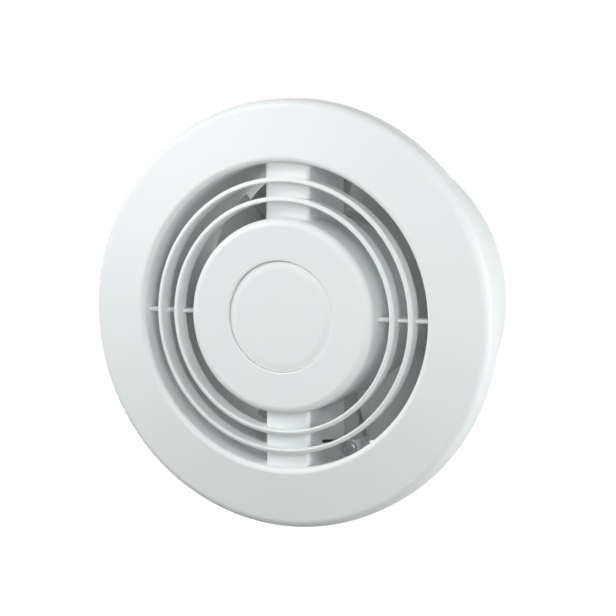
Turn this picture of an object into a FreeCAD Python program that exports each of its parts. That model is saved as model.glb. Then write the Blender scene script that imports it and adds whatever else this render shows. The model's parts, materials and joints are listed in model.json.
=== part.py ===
import FreeCAD, Part
import math
import os
from FreeCAD import Vector

# A round exhaust fan for a duct in a wall or ceiling, in millimetres.
# The axis lies along Y: the front looks towards -Y, y = 0 is the wall plane and the duct runs to +Y.
# Z is up. Angles about the axis run from +X towards +Z, as seen from the front.

# Shared by cuts, fits and threads
overrun = 1.0
hair = 1e-6
embed = 0.6
hole_play = 0.1
thread_play = 0.02
nut_sides = 6

# Duct spigot
duct_r = 62.5
duct_clearance = 1.0
spigot_wall = 2.0
spigot_length = 65.0
spigot_lead = 1.5
spigot_lead_share = 0.5
spigot_r = duct_r - duct_clearance
bore_r = spigot_r - spigot_wall

# Fascia and inlet lip
fascia_r = 81.3
skirt_wall = 2.6
face_wall = 2.4
rim_front = 10.0
lip_rise = 5.0
lip_wall = 1.4
lip_clearance = 0.3
edge_rounding = 4.0
back_rounding = 0.5
lip_rounding = 2.0
inner_rounding = 1.2
fascia_rib_count = 8
fascia_rib_thick = 1.5
lip_out_r = bore_r - lip_clearance
opening_r = lip_out_r - lip_wall
skirt_in_r = fascia_r - skirt_wall
lip_front = rim_front + lip_rise
face_slope_share = lip_rise / (fascia_r - opening_r)

# Base plate on the wall
base_thick = 2.5
base_clearance = 0.3
wall_screw_count = 4
wall_hole_share = 0.5
wall_boss_share = 0.52
wall_boss_height = 1.2
entry_width = 17.0
entry_height_share = 0.5
entry_flange_share = 0.38
entry_flange_thick = 1.2
grommet_wall_share = 0.18
base_r = skirt_in_r - base_clearance
base_middle_r = (spigot_r + base_r) / 2
base_half_width = (base_r - spigot_r) / 2
wall_boss_r = base_half_width * wall_boss_share
wall_hole_r = wall_boss_r * wall_hole_share
entry_height = (base_r - spigot_r) * entry_height_share
entry_flange = (base_half_width - entry_height / 2) * entry_flange_share
grommet_wall = entry_height * grommet_wall_share

# Motor magnet circuit, from the rotor outwards
pole_count = 4
rotor_r = 13.6
air_gap = 0.4
stack_length = 16.0
shoe_thick = 4.0
shoe_width = 18.0
pole_width = 11.0
yoke_wall = 5.25
shade_slot = 1.6
shade_slot_offset = 2.6
shade_depth = 2.0
shade_strap = 1.5
bobbin_length = 6.6
bobbin_play = 0.1
bobbin_wall = 0.8
bobbin_flange = 3.6
coil_margin = 0.3
stator_bore_r = rotor_r + air_gap
shoe_r = stator_bore_r + shoe_thick
coil_half = pole_width / 2 + bobbin_play + bobbin_wall + bobbin_flange
coil_overhang = bobbin_play + bobbin_wall + bobbin_flange
bobbin_start = shoe_r + bobbin_play
bobbin_end = bobbin_start + bobbin_length
yoke_r = math.hypot(bobbin_end, coil_half) + bobbin_play
stator_r = yoke_r + yoke_wall
bolt_circle_r = yoke_r + yoke_wall / 2

# Motor cup, the hub in front of it and the struts that carry it
cup_wall = 1.8
stator_clearance = 1.7
cradle_front = 1.3
cradle_floor = 2.5
seat_clearance = 0.3
register_wall = 1.2
register_height = 1.8
strut_width = 17.8
strut_wall = 1.8
strut_depth = 23.2
foot_width = 33.4
foot_reach = 7.8
foot_thick = 3.0
foot_clearance = 0.3
foot_screw_share = 0.42
post_gap = 2.5
post_width = 7.8
cradle_boss_r = 5.0
core_r = stator_r + stator_clearance + cup_wall
cup_in_r = core_r - cup_wall
strut_back = cradle_front + strut_depth
foot_inner = bore_r - foot_clearance - foot_reach
post_x = (foot_width - post_width) / 2
grille_back = cradle_front - seat_clearance

# Front hub, centre cap and the hidden screw
hub_overhang = 1.5
hub_wall = 2.2
hub_rise = 2.0
hub_rounding = 3.2
hub_inner_rounding = 1.5
cap_r = 20.9
cap_play = 0.15
cap_recess = 1.8
cap_thick = 1.5
cap_shoulder = 2.6
cap_drop = 0.6
cap_rounding = 8.0
recess_rounding = 0.6
cap_peg_count = 3
cap_peg_r = 1.2
cap_peg_circle_share = 0.67
screw_sink = 2.2
screw_seat = 2.0
sink_play = 0.5
hub_boss_wall = 3.4
hub_r = core_r + hub_overhang
hub_in_r = hub_r - hub_wall
hub_front = lip_front + hub_rise
recess_r = cap_r + cap_play
recess_floor = cap_recess - hub_front
sink_floor = recess_floor + screw_sink
hub_boss_back = sink_floor + screw_seat

# Ring vanes, bars and spokes of the grille
vane_count = 2
vane_thick = 1.9
vane_back_thick = 1.2
vane_depth = 8.0
vane_slant = 1.4
vane_draft = 0.15
vane_set_back = 1.1
vane_round_share = 0.3
bar_width = 18.2
bar_wall = 2.0
bar_set_back = 4.4
bar_rounding = 1.8
bar_inner_rounding = 0.6
spoke_thick = 1.5
spoke_depth = 3.8
spoke_round_share = 0.4
lip_middle_r = opening_r + lip_wall / 2
vane_pitch = (lip_middle_r - hub_r) / (vane_count + 1)

# Small fasteners
screw_r = 1.45
screw_head_r = 2.8
screw_head = 1.8
screw_round_share = 0.4
grille_screw_length = 11.0
cradle_thread_share = 0.8
bolt_r = 1.5
bolt_head_r = 2.75
bolt_head = 2.0
bolt_tip = 0.6
nut_r = 2.9
nut_height = 2.4
damper_r = 4.2
damper_thick = 2.1

# End shields, bearings and shaft
shield_thick = 2.0
shield_window_r = 5.0
coil_gap = 1.2
pillar_r = 2.6
bearing_wall = 2.2
bearing_boss_wall = 2.2
running_play = 0.03
end_play = 0.1
shaft_r = 3.0
shaft_inset = 0.4
end_ring_thick = 1.2
end_ring_width = 6.0
washer_thick = 0.5
washer_width = 2.0
bearing_r = shaft_r + running_play + bearing_wall
bearing_boss_r = bearing_r + bearing_boss_wall
front_shield = cradle_front + cradle_floor + damper_thick
stack_front = front_shield + shield_thick + coil_gap + coil_overhang
stack_back = stack_front + stack_length
rear_shield = stack_back + coil_overhang + coil_gap
rear_shield_back = rear_shield + shield_thick
rotor_front = stack_front - end_ring_thick - washer_thick
rotor_back = stack_back + end_ring_thick + washer_thick
bolt_back = rear_shield_back + nut_height + bolt_tip

# Impeller
blade_count = 7
blade_first_angle = 131.3
blade_half_angle = 33.0
blade_depth = 17.0
blade_thick = 1.8
blade_camber = 2.4
blade_inset = 2.0
tip_clearance = 3.7
impeller_depth = 21.5
impeller_wall = 2.0
impeller_rounding = 3.0
impeller_gap = 2.5
impeller_boss_r = 6.5
boss_gap = 1.6
impeller_rib_thick = 1.5
impeller_rib_gap = 2.5
seat_r = 2.5
thread_r = 2.0
end_washer_r = 5.0
end_washer_thick = 0.8
end_nut_r = 4.0
end_nut_height = 3.2
shaft_tip = 0.6
tip_r = bore_r - tip_clearance
impeller_front = stack_back + impeller_gap
impeller_back = impeller_front + impeller_depth
impeller_in_r = core_r - impeller_wall
blade_front = impeller_front + blade_inset
post_back = blade_front - post_gap
boss_front = rear_shield_back + boss_gap
end_washer_back = impeller_back + end_washer_thick
end_nut_back = end_washer_back + end_nut_height

# Terminal block and the leads to the coils
terminal_poles = 3
terminal_pitch = 8.5
terminal_depth = 17.0
terminal_height = 10.0
terminal_rounding = 1.0
terminal_centre_share = 0.585
terminal_bore_share = 0.62
terminal_screw_share = 0.28
insert_r = 2.3
insert_wall = 1.0
clamp_screw_r = 1.3
clamp_screw_length = 4.5
fixing_head_r = 1.7
fixing_head = 1.2
fixing_r = 1.1
fixing_thread_share = 0.8
lead_r = 0.9
lead_drop = 4.5
lead_entry = 3.0
lead_standoff = 0.3
lead_bend_room = 1.0
lead_bend_share = 0.45
register_out_r = hub_in_r - seat_clearance
register_in_r = register_out_r - register_wall
terminal_width = terminal_poles * terminal_pitch
terminal_z = register_in_r * terminal_centre_share
terminal_low = terminal_z - terminal_depth / 2
terminal_front = cradle_front - terminal_height
terminal_axis = cradle_front - terminal_height * terminal_bore_share
lead_z = terminal_low - lead_drop
lead_y = stack_front - coil_overhang + lead_r + lead_standoff


# Shape helpers

def outline(corners, place):
    """Closed wire through corners (u, v) or (u, v, rounding), where place gives the point at u, v."""
    spots = [place(corner[0], corner[1]) for corner in corners]
    turns = []
    for index, corner in enumerate(corners):
        here = spots[index]
        if len(corner) == 2:
            turns.append((here, here, here))
            continue
        back = (spots[index - 1] - here).normalize()
        ahead = (spots[(index + 1) % len(spots)] - here).normalize()
        half_turn = back.getAngle(ahead) / 2
        reach = corner[2] / math.tan(half_turn)
        dip = corner[2] / math.sin(half_turn) - corner[2]
        middle = here + (back + ahead).normalize() * dip
        turns.append((here + back * reach, middle, here + ahead * reach))
    edges = []
    for index, (first, middle, last) in enumerate(turns):
        if first.distanceToPoint(last) > hair:
            edges.append(Part.Arc(first, middle, last).toShape())
        following = turns[(index + 1) % len(turns)][0]
        if last.distanceToPoint(following) > hair:
            edges.append(Part.LineSegment(last, following).toShape())
    return Part.Wire(edges)


def outward(solid):
    if solid.Volume < 0:
        solid.reverse()
    return solid


def turned_solid(corners):
    """Corners (radius, y) turned about the fan's axis."""
    face = Part.Face(outline(corners, lambda radius, y: Vector(radius, y, 0)))
    return outward(face.revolve(Vector(0, 0, 0), Vector(0, 1, 0), 360))


def plate(corners, front, back):
    """Corners (x, z) drawn out along the axis."""
    face = Part.Face(outline(corners, lambda x, z: Vector(x, front, z)))
    return outward(face.extrude(Vector(0, back - front, 0)))


def rail(corners, start, end):
    """Corners (across, y) drawn out along +X, from start to end."""
    face = Part.Face(outline(corners, lambda across, y: Vector(start, y, across)))
    return outward(face.extrude(Vector(end - start, 0, 0)))


def fin(corners, thick):
    """Corners (radius, y) given a thickness about the plane through +X."""
    face = Part.Face(outline(corners, lambda radius, y: Vector(radius, y, -thick / 2)))
    return outward(face.extrude(Vector(0, 0, thick)))


def rod(radius, front, back, x=0, z=0):
    return Part.makeCylinder(radius, back - front, Vector(x, front, z), Vector(0, 1, 0))


def tube(inner, outer, front, back, x=0, z=0):
    hole = rod(inner, front - overrun, back + overrun, x, z)
    return rod(outer, front, back, x, z).cut(hole)


def block(x_from, x_to, front, back, z_from, z_to):
    corner = Vector(x_from, front, z_from)
    return Part.makeBox(x_to - x_from, back - front, z_to - z_from, corner)


def turn(shape, angle):
    copy = shape.copy()
    copy.rotate(Vector(0, 0, 0), Vector(0, -1, 0), angle)
    return copy


def around(shape, count, first=0):
    return [turn(shape, first + index * 360 / count) for index in range(count)]


def placed(shape, x, z):
    return shape.translated(Vector(x, 0, z))


def joined(shapes):
    return shapes[0].multiFuse(shapes[1:]).removeSplitter()


def spots_on(circle_r, count, first):
    angles = [math.radians(first + index * 360 / count) for index in range(count)]
    return [(circle_r * math.cos(angle), circle_r * math.sin(angle)) for angle in angles]


def stadium(width, height):
    half_width = width / 2
    half_height = height / 2
    return [(-half_width, -half_height, half_height), (half_width, -half_height, half_height),
            (half_width, half_height, half_height), (-half_width, half_height, half_height)]


def pan_screw(head_r, head, shank_r, seat, length):
    """Screw along the axis, its head in front of seat and its shank behind it."""
    return turned_solid([
        (0, seat - head),
        (head_r, seat - head, head * screw_round_share),
        (head_r, seat),
        (shank_r, seat),
        (shank_r, seat + length),
        (0, seat + length),
    ])


def hex_nut(corner_r, hole_r, front, back):
    corners = spots_on(corner_r, nut_sides, 0)
    return plate(corners, front, back).cut(rod(hole_r, front - overrun, back + overrun))


# Front grille

def face_front(radius):
    return -rim_front - (fascia_r - radius) * face_slope_share


def vane_front(radius):
    slope = hub_rise / (lip_middle_r - hub_r)
    return -lip_front - (lip_middle_r - radius) * slope + vane_set_back


bar_front = vane_front(lip_middle_r - vane_pitch) + bar_set_back


def fascia():
    return turned_solid([
        (skirt_in_r, 0),
        (fascia_r, 0, back_rounding),
        (fascia_r, -rim_front, edge_rounding),
        (opening_r, -lip_front, lip_rounding),
        (opening_r, grille_back),
        (lip_out_r, grille_back),
        (lip_out_r, face_front(lip_out_r) + face_wall, inner_rounding),
        (skirt_in_r, face_front(skirt_in_r) + face_wall, inner_rounding),
    ])


def fascia_ribs():
    inner = lip_out_r - embed
    outer = skirt_in_r + embed
    cover = face_wall - embed
    rib = fin([
        (inner, -base_thick),
        (inner, face_front(inner) + cover),
        (outer, face_front(outer) + cover),
        (outer, -base_thick),
    ], fascia_rib_thick)
    return around(rib, fascia_rib_count, 180 / fascia_rib_count)


def ring_vane(index):
    middle = hub_r + (index + 1) * vane_pitch
    inner = middle - vane_thick / 2
    outer = middle + vane_thick / 2
    front = vane_front(middle)
    half_slant = vane_slant / 2
    rounding = vane_thick * vane_round_share
    return turned_solid([
        (inner, front - half_slant, rounding),
        (outer, front + half_slant, rounding),
        (inner + vane_draft + vane_back_thick, front + vane_depth),
        (inner + vane_draft, front + vane_depth),
    ])


def hub_cup():
    hole_r = screw_r + hole_play
    sink_r = screw_head_r + sink_play
    boss_r = sink_r + hub_boss_wall
    step_r = recess_r + hub_wall
    cup = turned_solid([
        (hole_r, sink_floor),
        (sink_r, sink_floor),
        (sink_r, recess_floor),
        (recess_r, recess_floor),
        (recess_r, -hub_front, recess_rounding),
        (hub_r, -hub_front, hub_rounding),
        (hub_r, grille_back),
        (hub_in_r, grille_back),
        (hub_in_r, hub_wall - hub_front, hub_inner_rounding),
        (step_r, hub_wall - hub_front),
        (step_r, recess_floor + hub_wall),
        (boss_r, recess_floor + hub_wall),
        (boss_r, hub_boss_back),
        (hole_r, hub_boss_back),
    ])
    for x, z in spots_on(cap_r * cap_peg_circle_share, cap_peg_count, 90):
        hole = rod(cap_peg_r + hole_play, recess_floor - overrun, sink_floor + overrun, x, z)
        cup = cup.cut(hole)
    return cup


def grille_span(shape, front):
    """The stretch of a bar or spoke that runs from the hub's wall to the lip's wall."""
    return shape.common(tube(hub_r - hub_wall / 2, lip_middle_r, front, grille_back))


def grille_bar():
    half = bar_width / 2
    inner = half - bar_wall
    floor = bar_front + bar_wall
    bar = rail([
        (-half, grille_back),
        (-half, bar_front, bar_rounding),
        (half, bar_front, bar_rounding),
        (half, grille_back),
        (inner, grille_back),
        (inner, floor, bar_inner_rounding),
        (-inner, floor, bar_inner_rounding),
        (-inner, grille_back),
    ], 0, lip_out_r)
    return grille_span(bar, bar_front)


def grille_spoke():
    half = spoke_thick / 2
    rounding = spoke_thick * spoke_round_share
    spoke = rail([
        (-half, bar_front, rounding),
        (half, bar_front, rounding),
        (half, bar_front + spoke_depth),
        (-half, bar_front + spoke_depth),
    ], 0, lip_out_r)
    return grille_span(spoke, bar_front)


def cable_way():
    """The path of the supply cable behind the upper bar, through the lip and the hub wall."""
    half = bar_width / 2 - bar_wall
    return block(-half, half, bar_front + bar_wall, grille_back + overrun,
                 hub_in_r - overrun, lip_out_r + overrun)


def front_grille():
    pieces = [fascia(), hub_cup()]
    pieces += fascia_ribs()
    pieces += [ring_vane(index) for index in range(vane_count)]
    pieces += around(grille_bar(), 2, 90)
    pieces += around(grille_spoke(), 2)
    return joined(pieces).cut(cable_way())


def centre_cap():
    back = recess_floor
    front = back - cap_thick
    disc = turned_solid([
        (0, front),
        (cap_r - cap_shoulder, front, cap_rounding),
        (cap_r, front + cap_drop),
        (cap_r, back),
        (0, back),
    ])
    pegs = [rod(cap_peg_r, back - embed, sink_floor, x, z)
            for x, z in spots_on(cap_r * cap_peg_circle_share, cap_peg_count, 90)]
    return joined([disc] + pegs)


def grille_screw():
    return pan_screw(screw_head_r, screw_head, screw_r, sink_floor, screw_seat + grille_screw_length)


# Wall housing

def cable_entry(width, height, front, back):
    return placed(plate(stadium(width, height), front, back), 0, base_middle_r)


def foot_spots():
    z = foot_inner + foot_reach * foot_screw_share
    return [(x, side * z) for side in (-1, 1) for x in (-post_x, post_x)]


def cradle_thread():
    return (post_back - strut_back) * cradle_thread_share


def screw_posts():
    half = post_width / 2
    limit = rod(bore_r + spigot_wall / 2, strut_back, post_back)
    posts = []
    for x, z in foot_spots():
        low = foot_inner if z > 0 else -spigot_r
        high = spigot_r if z > 0 else -foot_inner
        posts.append(block(x - half, x + half, strut_back, post_back, low, high).common(limit))
    return posts


def wall_housing():
    shell = turned_solid([
        (bore_r, -base_thick),
        (base_r, -base_thick),
        (base_r, 0),
        (spigot_r, 0),
        (spigot_r, spigot_length - spigot_lead),
        (spigot_r - spigot_wall * spigot_lead_share, spigot_length),
        (bore_r, spigot_length),
    ])
    wall_spots = spots_on(base_middle_r, wall_screw_count, 180 / wall_screw_count)
    boss_front = -base_thick - wall_boss_height
    bosses = [rod(wall_boss_r, boss_front, -base_thick / 2, x, z) for x, z in wall_spots]
    housing = joined([shell] + bosses + screw_posts())
    for x, z in wall_spots:
        housing = housing.cut(rod(wall_hole_r, boss_front - overrun, overrun, x, z))
    for x, z in foot_spots():
        depth = strut_back + cradle_thread()
        housing = housing.cut(rod(screw_r + thread_play, strut_back - overrun, depth, x, z))
    return housing.cut(cable_entry(entry_width, entry_height, -base_thick - overrun, overrun))


def cable_grommet():
    wide = entry_width + entry_flange + entry_flange
    high = entry_height + entry_flange + entry_flange
    front = -base_thick - entry_flange_thick
    flange = cable_entry(wide, high, front, -base_thick)
    neck = cable_entry(entry_width, entry_height, front, 0)
    hole_width = entry_width - grommet_wall - grommet_wall
    hole_height = entry_height - grommet_wall - grommet_wall
    return joined([flange, neck]).cut(cable_entry(hole_width, hole_height, front - overrun, overrun))


# Motor cradle

def strut_reach(shape):
    inner = core_r - cup_wall / 2
    return shape.common(tube(inner, bore_r - foot_clearance, cradle_front, strut_back))


def cradle_strut():
    half = strut_width / 2
    inner = half - strut_wall
    strut = rail([
        (-half, cradle_front),
        (half, cradle_front),
        (half, strut_back),
        (inner, strut_back),
        (inner, cradle_front + strut_wall),
        (-inner, cradle_front + strut_wall),
        (-inner, strut_back),
        (-half, strut_back),
    ], 0, bore_r)
    return strut_reach(strut)


def cradle_foot():
    half = foot_width / 2
    foot = block(foot_inner, bore_r, strut_back - foot_thick, strut_back, -half, half)
    return strut_reach(foot)


def terminal_spots():
    side = (terminal_poles - 1) * terminal_pitch / 2
    return [(index * terminal_pitch - side, terminal_z) for index in range(terminal_poles)]


def fixing_spots():
    return [(x - terminal_pitch / 2, z) for x, z in terminal_spots()[1:]]


def lead_spots():
    spots = terminal_spots()
    return [(spots[0][0], lead_z), (spots[-1][0], lead_z)]


def motor_bolt_spots():
    return spots_on(bolt_circle_r, pole_count, 180 / pole_count)


def motor_cradle():
    disc_back = cradle_front + cradle_floor
    cup = turned_solid([
        (0, cradle_front),
        (register_in_r, cradle_front),
        (register_in_r, cradle_front - register_height),
        (register_out_r, cradle_front - register_height),
        (register_out_r, cradle_front),
        (core_r, cradle_front),
        (core_r, stack_back),
        (cup_in_r, stack_back),
        (cup_in_r, disc_back),
        (0, disc_back),
    ])
    boss = rod(cradle_boss_r, hub_boss_back, disc_back)
    arms = around(cradle_strut(), 2, 90) + around(cradle_foot(), 2, 90)
    cradle = joined([cup, boss] + arms)
    depth = hub_boss_back + grille_screw_length
    cradle = cradle.cut(rod(screw_r + thread_play, hub_boss_back - overrun, depth))
    for x, z in foot_spots():
        cradle = cradle.cut(rod(screw_r + hole_play, strut_back - strut_depth, strut_back + overrun, x, z))
    for x, z in motor_bolt_spots():
        cradle = cradle.cut(rod(bolt_r + hole_play, cradle_front - overrun, disc_back + overrun, x, z))
    for x, z in lead_spots():
        cradle = cradle.cut(rod(lead_r + lead_standoff, cradle_front - overrun, disc_back + overrun, x, z))
    depth = cradle_front + cradle_floor * fixing_thread_share
    for x, z in fixing_spots():
        cradle = cradle.cut(rod(fixing_r + thread_play, cradle_front - overrun, depth, x, z))
    return cradle


def cradle_screws():
    seat = strut_back - foot_thick
    screw = pan_screw(screw_head_r, screw_head, screw_r, seat, foot_thick + cradle_thread())
    return Part.makeCompound([placed(screw, x, z) for x, z in foot_spots()])


# Terminal block

def terminal_block():
    half = terminal_width / 2
    back = cradle_front
    body = plate([
        (-half, terminal_low, terminal_rounding),
        (half, terminal_low, terminal_rounding),
        (half, terminal_low + terminal_depth, terminal_rounding),
        (-half, terminal_low + terminal_depth, terminal_rounding),
    ], terminal_front, back)
    for x, z in terminal_spots():
        way = Part.makeCylinder(insert_r, terminal_depth + overrun + overrun,
                                Vector(x, terminal_axis, terminal_low - overrun), Vector(0, 0, 1))
        body = body.cut(way)
    for x, z in clamp_spots():
        body = body.cut(rod(clamp_screw_r + hole_play, terminal_front - overrun, terminal_axis, x, z))
    for x, z in fixing_spots():
        body = body.cut(rod(fixing_r + hole_play, terminal_front - overrun, back + overrun, x, z))
    return body


def clamp_spots():
    offset = terminal_depth * terminal_screw_share
    return [(x, z + side * offset) for x, z in terminal_spots() for side in (-1, 1)]


def terminal_inserts():
    outer = insert_r - thread_play
    inner = insert_r - insert_wall
    inserts = []
    for x, z in terminal_spots():
        foot = Vector(x, terminal_axis, terminal_low)
        body = Part.makeCylinder(outer, terminal_depth, foot, Vector(0, 0, 1))
        inserts.append(body.cut(Part.makeCylinder(inner, terminal_depth, foot, Vector(0, 0, 1))))
    inserts = Part.makeCompound(inserts)
    for x, z in clamp_spots():
        inserts = inserts.cut(rod(clamp_screw_r + thread_play, terminal_front, terminal_axis, x, z))
    return inserts


def terminal_clamp_screws():
    tip = terminal_axis - insert_r + insert_wall
    screws = [rod(clamp_screw_r, tip - clamp_screw_length, tip, x, z) for x, z in clamp_spots()]
    return Part.makeCompound(screws)


def terminal_fixing_screws():
    length = terminal_height + cradle_floor * fixing_thread_share
    screw = pan_screw(fixing_head_r, fixing_head, fixing_r, terminal_front, length)
    return Part.makeCompound([placed(screw, x, z) for x, z in fixing_spots()])


def bent_wire(points, radius):
    """A round wire along straight runs, with an arc at each inner point as large as its runs allow."""
    ends = [(points[0], points[0], points[0])]
    for before, here, after in zip(points, points[1:], points[2:]):
        back = (before - here).normalize()
        ahead = (after - here).normalize()
        half_turn = back.getAngle(ahead) / 2
        reach = min(before.distanceToPoint(here), here.distanceToPoint(after)) * lead_bend_share
        bend_r = reach * math.tan(half_turn)
        print("lead bend radius", round(bend_r, 2))
        middle = here + (back + ahead).normalize() * (bend_r / math.sin(half_turn) - bend_r)
        ends.append((here + back * reach, middle, here + ahead * reach))
    ends.append((points[-1], points[-1], points[-1]))
    edges = []
    for index, (first, middle, last) in enumerate(ends[:-1]):
        if first.distanceToPoint(last) > hair:
            edges.append(Part.Arc(first, middle, last).toShape())
        edges.append(Part.LineSegment(last, ends[index + 1][0]).toShape())
    section = Part.Wire(Part.makeCircle(radius, points[0], points[1] - points[0]))
    return Part.Wire(edges).makePipeShell([section], True, True)


def motor_leads():
    leads = []
    for x, z in lead_spots():
        leads.append(bent_wire([
            Vector(x, terminal_axis, terminal_low + lead_entry),
            Vector(x, terminal_axis, z),
            Vector(x, lead_y, z),
            Vector(x, lead_y, bobbin_start),
        ], lead_r))
    return Part.makeCompound(leads)


# Motor

def stator_pole():
    half_shoe = shoe_width / 2
    half_pole = pole_width / 2
    shoe = tube(stator_bore_r, shoe_r, stack_front, stack_back)
    shoe = shoe.common(block(0, shoe_r, stack_front, stack_back, -half_shoe, half_shoe))
    neck = block(stator_bore_r, yoke_r + embed, stack_front, stack_back, -half_pole, half_pole)
    neck = neck.cut(rod(shoe_r - embed, stack_front - overrun, stack_back + overrun))
    slot = block(0, stator_bore_r + shade_depth + shade_slot_offset - shade_slot, stack_front - overrun,
                 stack_back + overrun, shade_slot_offset, shade_slot_offset + shade_slot)
    return joined([shoe, neck]).cut(slot)


def stator_core():
    yoke = tube(yoke_r, stator_r, stack_front, stack_back)
    core = joined([yoke] + around(stator_pole(), pole_count))
    for x, z in motor_bolt_spots():
        core = core.cut(rod(bolt_r + hole_play, stack_front - overrun, stack_back + overrun, x, z))
    return core


def shading_rings():
    near = stator_bore_r + hole_play
    far = near + shade_depth - hole_play
    low = shade_slot_offset + hole_play
    high = shoe_width / 2 + shade_slot
    front = stack_front - shade_strap
    back = stack_back + shade_strap
    loop = block(near, far, front, back, low, high)
    inside_low = shade_slot_offset + shade_slot
    inside_high = shoe_width / 2
    hole = block(near - overrun, far + overrun, stack_front, stack_back, inside_low, inside_high)
    return Part.makeCompound(around(loop.cut(hole), pole_count))


def coil_frame(start, end, inner_grow, outer_grow):
    """A rectangular ring round a pole, grown from the pole's own section."""
    half = pole_width / 2
    outer = block(start, end, stack_front - outer_grow, stack_back + outer_grow,
                  -half - outer_grow, half + outer_grow)
    inner = block(start - overrun, end + overrun, stack_front - inner_grow, stack_back + inner_grow,
                  -half - inner_grow, half + inner_grow)
    return outer.cut(inner)


def coil_bobbins():
    wall_out = bobbin_play + bobbin_wall
    sleeve = coil_frame(bobbin_start, bobbin_end, bobbin_play, wall_out)
    near = coil_frame(bobbin_start, bobbin_start + bobbin_wall, bobbin_play, coil_overhang)
    far = coil_frame(bobbin_end - bobbin_wall, bobbin_end, bobbin_play, coil_overhang)
    return Part.makeCompound(around(joined([sleeve, near, far]), pole_count))


def stator_coils():
    wall_out = bobbin_play + bobbin_wall
    coil_out = coil_overhang - coil_margin
    coil = coil_frame(bobbin_start + bobbin_wall, bobbin_end - bobbin_wall, wall_out, coil_out)
    return Part.makeCompound(around(coil, pole_count))


def end_shield(plate_front, plate_back, boss_end, stack_face):
    """A bearing bracket: plate, bearing boss towards the rotor and a pillar at each bolt."""
    low = min(plate_front, boss_end)
    high = max(plate_back, boss_end)
    pillar_low = min(plate_front, stack_face)
    pillar_high = max(plate_back, stack_face)
    body = [rod(stator_r, plate_front, plate_back), rod(bearing_boss_r, low, high)]
    body += [rod(pillar_r, pillar_low, pillar_high, x, z) for x, z in motor_bolt_spots()]
    shield = joined(body).cut(rod(bearing_r, low - overrun, high + overrun))
    window_circle = (bearing_boss_r + stator_r) / 2
    for x, z in spots_on(window_circle, pole_count, 0):
        shield = shield.cut(rod(shield_window_r, plate_front - overrun, plate_back + overrun, x, z))
    for x, z in motor_bolt_spots():
        shield = shield.cut(rod(bolt_r + hole_play, pillar_low - overrun, pillar_high + overrun, x, z))
    return shield


def front_end_shield():
    shield = end_shield(front_shield, front_shield + shield_thick, rotor_front - end_play, stack_front)
    for x, z in lead_spots():
        way_r = lead_r + lead_standoff + lead_bend_room
        shield = shield.cut(rod(way_r, front_shield - overrun, front_shield + shield_thick + overrun, x, z))
    return shield


def rear_end_shield():
    return end_shield(rear_shield, rear_shield_back, rotor_back + end_play, stack_back)


def front_bearing():
    return tube(shaft_r + running_play, bearing_r, front_shield, rotor_front - end_play)


def rear_bearing():
    return tube(shaft_r + running_play, bearing_r, rotor_back + end_play, rear_shield_back)


def motor_bolts():
    bolt = pan_screw(bolt_head_r, bolt_head, bolt_r, cradle_front, bolt_back - cradle_front)
    return Part.makeCompound([placed(bolt, x, z) for x, z in motor_bolt_spots()])


def motor_nuts():
    nut = hex_nut(nut_r, bolt_r + thread_play, rear_shield_back, rear_shield_back + nut_height)
    return Part.makeCompound([placed(nut, x, z) for x, z in motor_bolt_spots()])


def motor_dampers():
    back = front_shield
    front = back - damper_thick
    rings = [tube(bolt_r + hole_play, damper_r, front, back, x, z) for x, z in motor_bolt_spots()]
    return Part.makeCompound(rings)


# Rotor and impeller

def motor_shaft():
    return turned_solid([
        (0, front_shield + shaft_inset),
        (shaft_r, front_shield + shaft_inset),
        (shaft_r, boss_front),
        (seat_r, boss_front),
        (seat_r, impeller_back),
        (thread_r, impeller_back),
        (thread_r, end_nut_back + shaft_tip),
        (0, end_nut_back + shaft_tip),
    ])


def rotor_core():
    return tube(shaft_r + thread_play, rotor_r, stack_front, stack_back)


def rotor_end_rings():
    inner = rotor_r - end_ring_width
    front = tube(inner, rotor_r, stack_front - end_ring_thick, stack_front)
    back = tube(inner, rotor_r, stack_back, stack_back + end_ring_thick)
    return Part.makeCompound([front, back])


def thrust_washers():
    inner = shaft_r + thread_play
    outer = shaft_r + washer_width
    front = tube(inner, outer, rotor_front, stack_front)
    back = tube(inner, outer, stack_back, rotor_back)
    return Part.makeCompound([front, back])


def blade_section(distance, spread):
    """The blade's curved plate where it crosses the plane at this distance from the axis."""
    reach = distance * math.tan(math.radians(spread))
    front = Vector(distance, blade_front, -reach)
    back = Vector(distance, blade_front + blade_depth, reach)
    chord = (back - front).normalize()
    normal = Vector(0, -chord.z, chord.y)
    middle = (front + back) / 2 + normal * blade_camber
    skin = normal * (blade_thick / 2)
    upper = Part.Arc(front + skin, middle + skin, back + skin).toShape()
    lower = Part.Arc(back - skin, middle - skin, front - skin).toShape()
    tail = Part.LineSegment(back + skin, back - skin).toShape()
    nose = Part.LineSegment(front - skin, front + skin).toShape()
    return Part.Wire([upper, tail, lower, nose])


def blade():
    root = impeller_in_r * math.cos(math.radians(blade_half_angle))
    sections = [blade_section(root, blade_half_angle), blade_section(tip_r, blade_half_angle)]
    loft = Part.makeLoft(sections, True, True)
    swept = tube(core_r - impeller_wall / 2, tip_r, impeller_front, impeller_back)
    return turn(outward(loft).common(swept), blade_first_angle + blade_half_angle)


def impeller_hub():
    face = impeller_back - impeller_wall
    return turned_solid([
        (seat_r + thread_play, boss_front),
        (impeller_boss_r, boss_front),
        (impeller_boss_r, face),
        (impeller_in_r, face),
        (impeller_in_r, impeller_front),
        (core_r, impeller_front),
        (core_r, impeller_back, impeller_rounding),
        (seat_r + thread_play, impeller_back),
    ])


def impeller_ribs():
    front = bolt_back + impeller_rib_gap
    rib = fin([
        (impeller_boss_r - embed, front),
        (impeller_in_r + embed, front),
        (impeller_in_r + embed, impeller_back - impeller_wall + embed),
        (impeller_boss_r - embed, impeller_back - impeller_wall + embed),
    ], impeller_rib_thick)
    return around(rib, blade_count, blade_first_angle)


def impeller():
    return joined([impeller_hub()] + impeller_ribs() + around(blade(), blade_count))


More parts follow.
